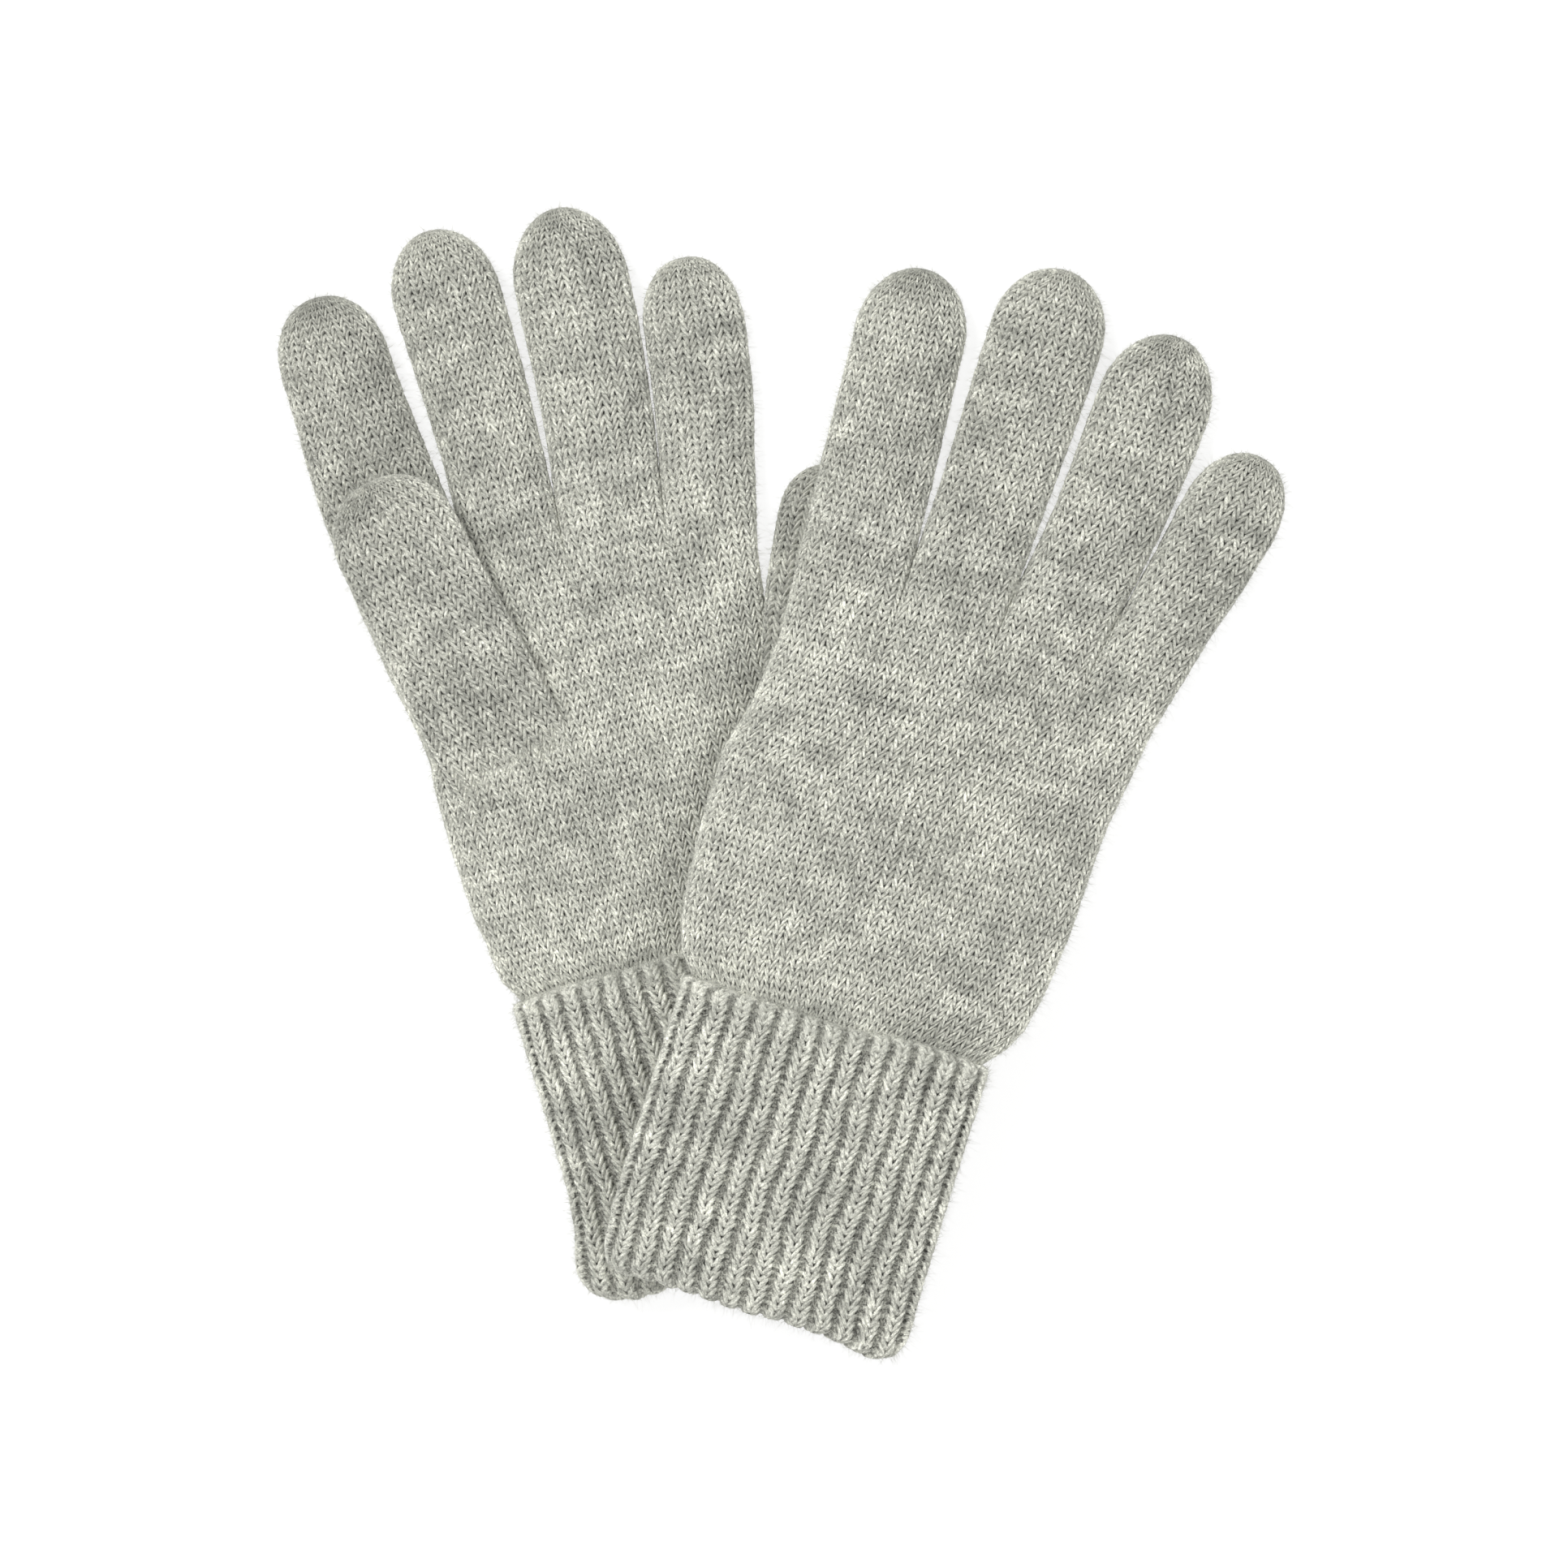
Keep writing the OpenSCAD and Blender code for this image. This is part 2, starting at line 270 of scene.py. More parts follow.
def slot_ring(half_w, thick, top, bottom, at):
    """A flattened ring, first over the top from -u to +u, then back underneath, with
    points at the fractions at of each half. Returns x and z, with z from 0 underneath."""
    f = half_steps()
    up_x, up_z = spread(half_w * f, thick / 2 * bulge(f, top), at)
    down_x, down_z = spread(-half_w * f, -thick / 2 * bulge(f, bottom), at)
    return np.concatenate([up_x, down_x]), np.concatenate([up_z, down_z]) + thick / 2


# ---------------------------------------------------------------- meshes
def normals_of(rows):
    """Unit normals of a grid of points [row, column, xyz] whose columns close on themselves.
    They point out where rows run along +v, and in where rows run back inside."""
    along = np.gradient(rows, axis=0)
    around = (np.roll(rows, -1, axis=1) - np.roll(rows, 1, axis=1)) / 2
    n = np.cross(around, along)
    return n / np.maximum(np.linalg.norm(n, axis=-1, keepdims=True), 1e-9)


def sample(grid, row):
    """Values of a grid [row, column, ...] at fractional rows [row, column]."""
    last = grid.shape[0] - 1
    row = np.clip(row, 0, last)
    i = np.minimum(row.astype(int), last - 1)
    f = (row - i)[..., None]
    j = np.broadcast_to(np.arange(grid.shape[1]), row.shape)
    return grid[i, j] * (1 - f) + grid[i + 1, j] * f


def knitted(knit, skin, chart, w, c, q, courses, seed, lift=0.0, amount=1.0, first_course=0):
    """Lay stitches on a smooth skin. skin and chart are grids over the piece's length,
    w, c and q the chart coordinates wanted. Returns points, chart and stitch grids."""
    row = c / courses * (skin.shape[0] - 1)
    at = sample(skin, row)
    normal = sample(normals_of(skin), row)
    normal /= np.maximum(np.linalg.norm(normal, axis=-1, keepdims=True), 1e-9)
    w2, c2 = loosened(w, c + first_course, q, seed)
    h = relief(knit, w2, c2, seed) * amount + lift
    stitch = np.stack([w2, c2, np.broadcast_to(amount, w2.shape)], -1)
    return at + normal * h[..., None], sample(chart, row), stitch


def crease(mesh, rows, columns, sharp_rows, sharp_columns):
    """Sharpen the edges that run along these rows and columns of a mesh made from a grid."""
    edges = np.empty(len(mesh.edges) * 2, np.int32)
    mesh.edges.foreach_get("vertices", edges)
    edges = edges.reshape(-1, 2)
    row, column = edges // columns, edges % columns
    sharp = (row[:, 0] == row[:, 1]) & np.isin(row[:, 0], sharp_rows)
    sharp |= (column[:, 0] == column[:, 1]) & np.isin(column[:, 0], sharp_columns)
    sharp &= edges.max(1) < rows * columns
    attribute = mesh.attributes.new("sharp_edge", "BOOLEAN", "EDGE")
    attribute.data.foreach_set("value", sharp)


def build(name, parts, closed=False, creases=()):
    """One closed mesh from grids that follow each other, each (points, chart, stitch) in
    millimetres. closed joins the last row to the first; otherwise both ends get a fan.
    creases are the columns whose two sides are shaded apart, as are the rims, where one
    skin turns into the other."""
    points = np.concatenate([p[0].reshape(-1, 3) for p in parts]) * MM
    charts = np.concatenate([p[1].reshape(-1, 3) for p in parts])
    stitches = np.concatenate([p[2].reshape(-1, 3) for p in parts])
    n = parts[0][0].shape[1]
    m = len(points) // n
    i, j = np.meshgrid(np.arange(m if closed else m - 1), np.arange(n), indexing="ij")
    k, l = (i + 1) % m, (j + 1) % n
    loops = [np.stack([i * n + j, i * n + l, k * n + l, k * n + j], -1).reshape(-1)]
    sizes = [np.full(i.size, 4)]
    uv = [np.stack([np.stack([j, j + 1, j + 1, j], -1).reshape(-1) / n,
                    np.stack([i, i, i + 1, i + 1], -1).reshape(-1) / m], -1)]
    if not closed:
        for row, swap in ((0, True), (m - 1, False)):
            ring = np.arange(n) + row * n
            centre = len(points)
            points = np.vstack([points, points[ring].mean(0)])
            charts = np.vstack([charts, charts[ring].mean(0)])
            stitches = np.vstack([stitches, stitches[ring].mean(0)])
            a, b = (np.roll(ring, -1), ring) if swap else (ring, np.roll(ring, -1))
            loops.append(np.stack([a, b, np.full(n, centre)], -1).reshape(-1))
            sizes.append(np.full(n, 3))
            jj = np.arange(n) / n
            y = np.full(n, row / m)
            uv.append(np.stack([jj, y, jj + 1 / n, y, jj + 0.5 / n, y + 0.3 / m], -1).reshape(-1, 2))
    loops, sizes = np.concatenate(loops), np.concatenate(sizes)
    mesh = bpy.data.meshes.new(name)
    mesh.vertices.add(len(points))
    mesh.vertices.foreach_set("co", points.astype(np.float32).ravel())
    mesh.loops.add(len(loops))
    mesh.loops.foreach_set("vertex_index", loops.astype(np.int32))
    mesh.polygons.add(len(sizes))
    mesh.polygons.foreach_set("loop_start", (np.cumsum(sizes) - sizes).astype(np.int32))
    mesh.update(calc_edges=True)
    layer = mesh.uv_layers.new(name="OFBake")
    layer.data.foreach_set("uv", np.concatenate(uv).astype(np.float32).ravel())
    for label, values in (("chart", charts), ("stitch", stitches)):
        a = mesh.attributes.new(label, "FLOAT_VECTOR", "POINT")
        a.data.foreach_set("vector", values.astype(np.float32).ravel())
    mesh.polygons.foreach_set("use_smooth", np.ones(len(sizes), bool))
    ends = np.cumsum([p[0].shape[0] for p in parts])[:-1]
    rims = [(e - 1, e) for e in ends] + ([(m - 1, 0)] if closed else [])
    crease(mesh, m, n, np.unique(np.array(rims).ravel()), creases)
    mesh.validate()
    obj = bpy.data.objects.new(name, mesh)
    bpy.context.scene.collection.objects.link(obj)
    return obj


# ---------------------------------------------------------------- the hand
HAND_START = 68.6     # the linking course at the wrist
FULL_FROM = 96        # from here on the hand is as thick as HAND_T
GROOVE = 1.3          # how far the fabric is drawn in just above the wrist
# Where each hand comes down from its height inside the cuff
COMES_DOWN = ((72.5, 96), (92, 118))
GORE = 0.5            # half width, in wales, of the fabric that opens between two fingers
THINS_FROM = 146      # from here on it thins towards the fingers
PARTED_FROM = 150.0   # where the valleys between the fingers begin
# How square the hand's section is: on top at the wrist and at the palm, and underneath
WRIST_POWER, PALM_POWER, SOLE_POWER = 4.5, 3.4, 5.0
WALES = sum(HALF_WALES)
WALE_ENDS = np.concatenate([[0], np.cumsum(HALF_WALES)]).astype(float)
HAND_SKIN_ROWS = 150
HAND_LINING, HAND_LINING_ROWS = 1.8, 16     # how deep the inner skin lies, and its rows


def palm_wale(w):
    """Wales counted without the gores, which are closed up in the palm."""
    out = np.clip(w - GORE, 0, WALES - 2 * GORE)
    for e in WALE_ENDS[1:-1]:
        out = out - (np.clip(w, e - GORE, e + GORE) - (e - GORE))
    return out


def gored(w, opened):
    """The stitch coordinate of wale w where the gores are partly opened."""
    e = WALE_ENDS[np.argmin(np.abs(w[..., None] - WALE_ENDS), axis=-1)]
    middle = e + np.where(w < e, -GORE, GORE)
    return np.where(np.abs(w - e) < GORE, middle + opened * (w - middle), w)


def hand_thick(v):
    hand = mix(RIB_T, HAND_T, smooth(HAND_START, FULL_FROM, v))
    return mix(hand, FINGER_T, smooth(THINS_FROM, FINGER_LINE, v))


def hand_opened(v):
    """How far the gores between the fingers have opened, 0 in the palm."""
    return smooth(PARTED_FROM, FINGER_LINE, v)


def parting_shares(s):
    """Where the fingers part, as shares of the hand's width."""
    p = np.array(PARTINGS[s])
    return (p - p[0]) / (p[-1] - p[0])


def hand_half(s, v, w, sign):
    """One half (sign +1 top, -1 underside) of the hand's section at v: x and z at wales w."""
    a, b = float(thumb_side(s, v)), float(little_side(v))
    part = a + (b - a) * parting_shares(s)
    thick = float(hand_thick(v))
    top_power = mix(WRIST_POWER, PALM_POWER, float(smooth(HAND_START, FULL_FROM, v)))
    power = top_power if sign > 0 else SOLE_POWER
    opened = float(hand_opened(v))
    valleys = opened ** 1.2
    f = half_steps()
    xs, zs = [], []
    for k in range(len(HALF_WALES)):
        c, r = (part[k] + part[k + 1]) / 2, (part[k + 1] - part[k]) / 2
        x = c + r * f
        lobe = bulge(f, TOP_POWER if sign > 0 else UNDER_POWER)
        plain = bulge((x - (a + b) / 2) / ((b - a) / 2), power)
        z = sign * thick / 2 * mix(plain, lobe, valleys)
        xs.append(x if k == 0 else x[1:])
        zs.append(z if k == 0 else z[1:])
    x, z = np.concatenate(xs), np.concatenate(zs)
    run = np.concatenate([[0], np.cumsum(np.hypot(np.diff(x), np.diff(z)))])
    marks = run[np.arange(len(part)) * (ARC_STEPS - 1)]
    # wales lie evenly in the palm, and between the fingers' own valleys at the finger line
    flat = palm_wale(w) / palm_wale(np.array(float(WALES)))
    fanned = np.interp(w, WALE_ENDS, marks) / run[-1]
    at = mix(flat + 1e-4 * (w / WALES - flat), fanned, opened) * run[-1]
    return np.interp(at, run, x), np.interp(at, run, z), thick


def hand_lift(s, v):
    """How high the hand's underside lies, as its wrist does inside the cuff."""
    return (WALL + GAP) * (1 - smooth(*COMES_DOWN[s], v))


def hand_grid(s, rows_v, w, inset=0.0):
    """The hand's skin at each v and its chart, moved along its normals by inset."""
    grid, chart = [], []
    for v in rows_v:
        top_u, top_z, thick = hand_half(s, v, w, 1)
        under_u, under_z, _ = hand_half(s, v, WALES - w, -1)
        u, z = np.concatenate([top_u, under_u]), np.concatenate([top_z, under_z])
        lift = hand_lift(s, v) + thick / 2
        groove = GROOVE * (1 - smooth(HAND_START + 1.5, HAND_START + 12, v))
        z = z + np.clip(z / thick + 0.5, 0, 1) * (lumps(s, u, v) - groove)
        grid.append(np.stack([u, np.full_like(u, v), z + lift], -1))
        chart.append(np.stack([u, np.full_like(u, v), z], -1))
    skin = np.array(grid)
    if inset:
        skin = skin + normals_of(skin) * inset
    return place(s, skin[..., 0], skin[..., 1], skin[..., 2]), np.array(chart)


def plain_skin(points, chart):
    """An inner skin with no stitches."""
    return points, chart, np.zeros(points.shape)


def make_hand(s):
    w_top = chart_columns(PLAIN, 0, WALES)
    fold = np.concatenate([w_top, WALES - w_top])
    under = np.concatenate([np.zeros_like(w_top), np.full_like(w_top, UNDERNEATH)])
    courses = round((FINGER_LINE - HAND_START) / PLAIN["course"])
    v = np.linspace(HAND_START, FINGER_LINE, HAND_SKIN_ROWS)
    skin, chart = hand_grid(s, v, w_top)
    c_level = np.linspace(0, courses, courses * PLAIN["rows"] + 1)[:, None]
    opened = hand_opened(mix(HAND_START, FINGER_LINE, c_level / courses))
    w = gored(np.broadcast_to(fold, (len(c_level), len(fold))), opened)
    c = sheared(PLAIN, w, courses, 2.0, 3.0)
    outer = knitted(PLAIN, skin, chart, w + under, c, palm_wale(fold) + under, courses, 100 * s,
                    lift=LIFT, first_course=-courses)
    rows_in = np.linspace(FINGER_LINE - 1.0, HAND_START + 1.0, HAND_LINING_ROWS)
    inner = plain_skin(*hand_grid(s, rows_in, w_top, HAND_LINING))
    # a closed gore has no width, so it would spoil the shading of the wales beside it
    gore_edges = np.isclose(np.abs(fold[:, None] - WALE_ENDS).min(1), GORE)
    return build(SIDES[s] + "_hand_knit", [outer, inner], closed=True, creases=np.flatnonzero(gore_edges))


# ---------------------------------------------------------------- fingers and thumbs
DIGIT_SKIN_ROWS = 120
DIGIT_LINING, DIGIT_LINING_ROWS = 1.9, 12
KNEE = 0.35           # how far along a digit its slope at the base is felt


def digit_path(base, tip, slope, bow):
    """Points of a finger's middle line, which leaves its base with a slope, u per v."""
    t = np.linspace(0, 1, 400)[:, None]
    base, tip = np.array(base, float), np.array(tip, float)
    knee = base + np.array([slope, 1.0]) * np.linalg.norm(tip - base) * KNEE
    p = (1 - t) ** 2 * base + 2 * t * (1 - t) * knee + t ** 2 * tip
    p[:, 0] += (bow * 4 * t * (1 - t))[:, 0]
    return p


def digit_stations(d, path, count, first=0.0, last=1.0):
    """Rings along a digit, spaced evenly over its surface: middle, heading, half width,
    thickness, thickness before the tip rounds off, distance along the middle line, and the
    whole length over the surface."""
    run = np.concatenate([[0], np.cumsum(np.hypot(*np.diff(path, axis=0).T))])
    length, tip_round = run[-1], d["tip_round"]
    angle = np.linspace(0, math.pi / 2, 90)
    ax = (length - tip_round) + tip_round * np.sin(angle) ** (2 / d["tip_power"])
    ay = np.cos(angle) ** (2 / d["tip_power"])
    arc = np.concatenate([[0], np.cumsum(np.hypot(np.diff(ax), np.diff(ay * d["half_w"](1.0))))])
    straight = length - tip_round
    whole = straight + arc[-1] * 0.95
    at = np.linspace(first, last, count) * whole
    along = np.where(at < straight, at, np.interp(at - straight, arc, ax))
    shrink = np.where(at < straight, 1.0, np.interp(at - straight, arc, ay))
    on_path = lambda a: np.stack([np.interp(np.clip(a, 0, length), run, path[:, k]) for k in (0, 1)], -1)
    heading = on_path(along + 0.5) - on_path(along - 0.5)
    heading /= np.linalg.norm(heading, axis=-1, keepdims=True)
    # the first ring lies level, so that it meets the hand's last one
    heading = mix(np.array([0.0, 1.0]), heading, smooth(0, 16, along)[:, None])
    heading /= np.linalg.norm(heading, axis=-1, keepdims=True)
    f = along / length
    half_w = np.array([d["half_w"](x) for x in f]) * shrink
    thick = np.array([d["thick"](x) for x in f]) * np.maximum(shrink, 0.04) ** 0.55
    flat = np.array([d["thick"](x) for x in f])
    return on_path(along), heading, half_w, thick, flat, along, whole


def digit_grid(s, d, path, count, at, first=0.0, last=1.0, inset=0.0):
    """A digit's skin and its chart, with the half width of each ring."""
    mid, heading, half_w, thick, flat, along, _ = digit_stations(d, path, count, first, last)
    grid, chart = [], []
    for k in range(count):
        hw, t = max(half_w[k] - inset, 0.4), max(thick[k] - 2 * inset, 0.3)
        x, z = slot_ring(hw, t, TOP_POWER, UNDER_POWER, at)
        u, v = mid[k][0] + x * heading[k][1], mid[k][1] - x * heading[k][0]
        # a rounded tip comes down to the middle of the thickness, a little below it
        z = z + (thick[k] - t) / 2 + 0.42 * (flat[k] - thick[k])
        z = z + np.clip(z / FINGER_T, 0, 1) * lumps(s, u, v)
        grid.append(place(s, u, v, z + d["rest"](u, v)))
        chart.append(np.stack([path[0][0] + x + d["shift"], np.full_like(x, path[0][1] + along[k]), z], -1))
    return np.array(grid), np.array(chart), half_w


def make_digit(name, s, base, tip, d):
    """One closed finger or thumb. d holds its half_w and thick at each share of its length,
    the height it rests at, tip_round and tip_power, the wales over its top and the first of
    them, its slope at the base and its bow, and the shift and seed of its yarn."""
    path = digit_path(base, tip, d["slope"], d["bow"])
    whole = digit_stations(d, path, 2)[-1]
    courses = max(1, round(whole / PLAIN["course"]))
    w_top = chart_columns(PLAIN, 0, d["wales"])
    at = w_top / d["wales"]
    skin, chart, half_w = digit_grid(s, d, path, DIGIT_SKIN_ROWS, at)
    fold = d["first_wale"] + np.concatenate([w_top, d["wales"] - w_top])
    under = np.concatenate([np.zeros_like(w_top), np.full_like(w_top, UNDERNEATH)])
    c = sheared(PLAIN, np.broadcast_to(fold, (courses * PLAIN["rows"] + 1, len(fold))), courses, 2.0, 4.0)
    # stitches get smaller where the tip gathers them
    widths = np.repeat(half_w[:, None, None], len(fold), 1)
    narrow = sample(widths, c / courses * (DIGIT_SKIN_ROWS - 1))[..., 0] / d["half_w"](1.0)
    amount = mix(0.25, 1.0, smooth(0.0, 0.7, narrow))
    outer = knitted(PLAIN, skin, chart, fold + under + np.zeros_like(c), c, palm_wale(fold) + under,
                    courses, d["seed"], lift=LIFT, amount=amount)
    inner = plain_skin(*digit_grid(s, d, path, DIGIT_LINING_ROWS, at, 0.92, 0.01, DIGIT_LINING)[:2])
    return build(name, [inner, outer])


def fan_slope(s, k):
    """Slope of the middle of finger k where it leaves the hand, which fans out."""
    share = parting_shares(s)[k:k + 2].mean()
    middle = lambda v: mix(thumb_side(s, v), little_side(v), share)
    return float(middle(FINGER_LINE) - middle(FINGER_LINE - 8)) / 8


def make_finger(s, k, which):
    tip_u, tip_v, middle_w, tip_round, tip_power, bow = FINGERS[s][which]
    edges = mix(float(thumb_side(s, FINGER_LINE)), float(little_side(FINGER_LINE)), parting_shares(s))
    base_w = (edges[k + 1] - edges[k]) / 2
    d = dict(half_w=lambda f: mix(base_w, middle_w, float(smooth(0.12, 0.7, f))),
             thick=lambda f: FINGER_T, rest=lambda u, v: 0.0, tip_round=tip_round, tip_power=tip_power,
             wales=HALF_WALES[k], first_wale=WALE_ENDS[k], slope=fan_slope(s, k), bow=bow, shift=0.0,
             seed=100 * s)
    return make_digit(f"{SIDES[s]}_{which}_finger_knit", s,
                      ((edges[k] + edges[k + 1]) / 2, FINGER_LINE), (tip_u, tip_v), d)


def make_thumb(s):
    if s == LEFT:
        # it grows out of the palm: its base starts just under the palm's surface
        base, tip = (-15.7, 112.0), (-31.2, 194.2)
        d = dict(half_w=lambda f: mix(15.4, 14.8, float(smooth(0.2, 0.8, f))),
                 thick=lambda f: mix(1.2, LEFT_THUMB_T, float(smooth(0.05, 0.5, f))),
                 rest=lambda u, v: hand_thick(v) - mix(3.0, 0.1, smooth(111, 138, v)),
                 tip_round=17.0, tip_power=2.3, wales=10, first_wale=0, slope=-0.19, bow=0.0,
                 shift=90.0, seed=61)
        return make_digit("left_thumb_knit", s, base, tip, d)
    # it grows out of the palm's underside, and lies tucked under the hand
    base, tip = (-21.5, 128.0), (-34.5, 192.7)
    d = dict(half_w=lambda f: mix(11.0, 14.0, float(smooth(0, 0.35, f))),
             thick=lambda f: mix(1.5, RIGHT_THUMB_T, float(smooth(0.0, 0.3, f))),
             rest=lambda u, v: mix(0.8, np.maximum(-drape(s, u, v), -OVER_THUMB), smooth(126, 142, v)),
             tip_round=13.0, tip_power=2.3, wales=9, first_wale=0, slope=-0.35, bow=-1.0,
             shift=60.0, seed=71)
    return make_digit("right_thumb_knit", s, base, tip, d)


# ---------------------------------------------------------------- the ribbed wrist
RIBS = 15             # over the top; as many underneath
EDGE_COURSES = 4
BAND_SKIN_ROWS = 160
RIB_LINING = 1.9
RIB_START = WALL + 2 * GAP + 0.4      # the wrist rib begins just inside the cuff's fold


def band_rows(s, profile, at, half_w, thick):
    """Rings of a flat band; profile is a list of (v, inset) along its skin."""
    grid, chart = [], []
    for v, inset in profile:
        x, z = slot_ring(half_w - inset, thick - 2 * inset, 5.0, 6.0, at)
        z = z + inset
        # the cuff's free play: its sides and its ends aren't quite straight
        u = x + 0.5 * noise(v / 22, x / 60, 31 + s)
        if s == LEFT:
            u = u + DRAWN_IN * smooth(-6, 28, v) * np.clip(-x / half_w, 0, 1)
        at_corner = np.clip((np.abs(x) - (half_w - CORNER)) / CORNER, 0, 1)
        low = (np.interp(x, FOLD_U, FOLD_V[s]) + 0.9 * CORNER * (1 - np.sqrt(1 - at_corner ** 2)))
        vv = v + 0.8 * noise(x / 22, np.full_like(x, v / 90), 37 + s) + low * (1 - smooth(0, 16, v))
        grid.append(place(s, u, vv, z + (CUFF_T - thick) / 2))
        chart.append(np.stack([x, np.full_like(x, v), z + 3 * inset], -1))
    return np.array(grid), np.array(chart)


def make_band(name, s, outer_profile, inner_profile, half_w, thick, courses, seed, lift=0.3, amount=None):
    """A ribbed band: its outer profile, walked evenly towards +v, and its inner one."""
    w_top = chart_columns(RIB, 0, RIBS)
    at = w_top / RIBS
    walk = np.array(outer_profile, float)
    run = np.concatenate([[0], np.cumsum(np.hypot(*np.diff(walk, axis=0).T))])
    even = np.linspace(0, run[-1], BAND_SKIN_ROWS)
    skin, chart = band_rows(s, zip(np.interp(even, run, walk[:, 0]), np.interp(even, run, walk[:, 1])),
                            at, half_w, thick)
    w = np.concatenate([w_top, w_top + UNDERNEATH])
    c = sheared(RIB, np.broadcast_to(w, (courses * RIB["rows"] + 1, len(w))), courses, 1.2, 2.2)
    strength = 1.0 if amount is None else amount(c / courses)
    outer = knitted(RIB, skin, chart, w + np.zeros_like(c), c, w, courses, seed, lift=lift, amount=strength)
    inner = plain_skin(*band_rows(s, inner_profile, at, half_w, thick))
    return build(name, [outer, inner], closed=True)


def arc(cv, ci, radius, start, stop, steps):
    """Profile points on an arc about (cv, ci), angles in degrees, 0 towards +v and 90 outwards."""
    a = np.radians(np.linspace(start, stop, steps))
    return [(cv + radius * math.cos(t), ci - radius * math.sin(t)) for t in a]


def make_turned_cuff(s):
    fold = WALL
    outer = arc(fold, fold, fold, 270, 90, 9) + [(CUFF_D - EDGE_D, 0.0)]
    inner = [(CUFF_D - EDGE_D, WALL), (CUFF_D / 2, WALL), (fold + 1.0, WALL), (fold + 1.0, 2 * fold)]
    courses = round((CUFF_D - EDGE_D + 2 * fold) / RIB["course"])
    return make_band(SIDES[s] + "_turned_cuff_knit", s, outer, inner, CUFF_HALF_W, CUFF_T, courses,
                     200 + 50 * s, amount=lambda f: mix(0.4, 1.0, smooth(0.02, 0.14, f)))


def make_cuff_edge(s):
    r = WALL / 2 + 0.2
    outer = [(CUFF_D - EDGE_D, 0.0)] + arc(CUFF_D - r, r, r, 90, -90, 8)
    inner = [(CUFF_D - r - 0.4, WALL + 0.05), (CUFF_D - EDGE_D, WALL)]
    return make_band(SIDES[s] + "_cuff_edge_knit", s, outer, inner, CUFF_HALF_W, CUFF_T, EDGE_COURSES,
                     300 + 50 * s, amount=lambda f: 1 - 0.5 * smooth(0.35, 0.9, f))


def make_wrist_rib(s):
    outer = [(RIB_START, 0.0), (HAND_START + 0.2, 0.0)]
    inner = [(v, RIB_LINING) for v in (HAND_START + 0.2, HAND_START / 2, RIB_START)]
    courses = round(HAND_START / RIB["course"])
    return make_band(SIDES[s] + "_wrist_rib_knit", s, outer, inner, RIB_HALF_W - 0.2, RIB_T - 0.4, courses,
                     400 + 50 * s, lift=0.0)


def make_wrist_seam(s):
    """The linking course: one row of small chained loops round the wrist."""
    at = np.arange(WALES * 6) / (WALES * 6)
    radius = 0.9
    middle = HAND_START + 0.4
    profile = [(middle + radius * math.cos(t), 1.0 - radius * math.sin(t))
               for t in np.radians(np.linspace(270, -90, 13)[:-1])]
    rows, chart = band_rows(s, profile, at, RIB_HALF_W, RIB_T - 1.2)
    w = np.broadcast_to(np.concatenate([at, at]) * WALES, rows.shape[:2])
    beads = 0.16 * np.cos(2 * np.pi * w)
    stitch = np.stack([w, np.zeros_like(w), np.full_like(w, 0.3)], -1)
    return build(SIDES[s] + "_wrist_seam_knit",
                 [(rows + normals_of(rows) * beads[..., None], chart, stitch)], closed=True)


# ---------------------------------------------------------------- materials
class Value:
    """A socket of a material's nodes, so that sums on it can be written as usual."""

    def __init__(self, graph, socket):
        self.graph, self.socket = graph, socket

    def __add__(self, other):
        return self.graph.math("ADD", self, other)

    def __sub__(self, other):
        return self.graph.math("SUBTRACT", self, other)

    def __rsub__(self, other):
        return self.graph.math("SUBTRACT", other, self)

    def __mul__(self, other):
        return self.graph.math("MULTIPLY", self, other)

    def __truediv__(self, other):
        return self.graph.math("DIVIDE", self, other)

    def __pow__(self, power):
        return self.graph.math("POWER", self, power)

    def __abs__(self):
        return self.graph.math("ABSOLUTE", self)


